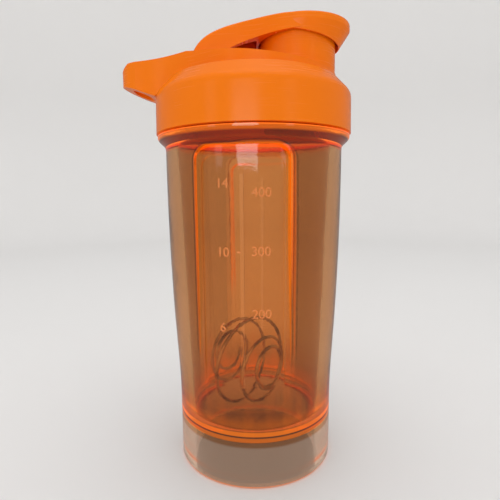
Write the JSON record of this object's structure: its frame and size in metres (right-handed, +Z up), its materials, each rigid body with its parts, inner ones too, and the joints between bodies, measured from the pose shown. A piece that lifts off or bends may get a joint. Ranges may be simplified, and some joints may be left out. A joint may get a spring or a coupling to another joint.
{
  "type": "protein shaker bottle",
  "caption": "Clear tapered shaker cup with recessed windows, a screw lid with a carry loop and spout, a hinged flip cap and a wire whisk ball inside",
  "frame": {"origin": "centre of the cup's bottom rim, on the surface the bottle stands on", "axes": "+Z up along the cup's axis, +X from the axis to the drinking spout, -X to the carry loop"},
  "size_m": [0.1082, 0.0926, 0.2082],
  "materials": {
    "clear_cup": "clear moulded plastic with a light amber tint",
    "gasket_silicone": "translucent silicone",
    "lid_plastic": "satin gloss, orange",
    "cap_plastic": "satin gloss, orange",
    "seal_silicone": "translucent silicone",
    "whisk_steel": "drawn stainless wire"
  },
  "bodies": {
    "cup": {"cup": "clear_cup"},
    "lid_gasket": {"lid_gasket": "gasket_silicone"},
    "lid": {"lid": "lid_plastic"},
    "flip_cap": {"flip_cap": "cap_plastic", "spout_seal": "seal_silicone"},
    "whisk_ball": {"whisk_ball": "whisk_steel"}
  },
  "joints": [
    {"name": "lid_lift", "type": "slide", "parent": "cup", "child": "lid_gasket", "axis": [0, 0, 1], "range_m": [0, 0.0195]},
    {"name": "lid_turn", "type": "hinge", "parent": "lid_gasket", "child": "lid", "pos_m": [0, 0, 0.1715], "axis": [0, 0, 1], "range_deg": [0, 1170]},
    {"name": "flip_hinge", "type": "hinge", "parent": "lid", "child": "flip_cap", "pos_m": [-0.0246, 0, 0.19], "axis": [0, -1, 0], "range_deg": [0, 105]},
    {"name": "ball_slide", "type": "slide", "parent": "cup", "child": "whisk_ball", "axis": [0, 0, 1], "range_m": [0, 0.094]}
  ],
  "couplings": [
    {"joint": "lid_lift", "follows": "lid_turn", "m_per_rad": 0.00095493}
  ]
}
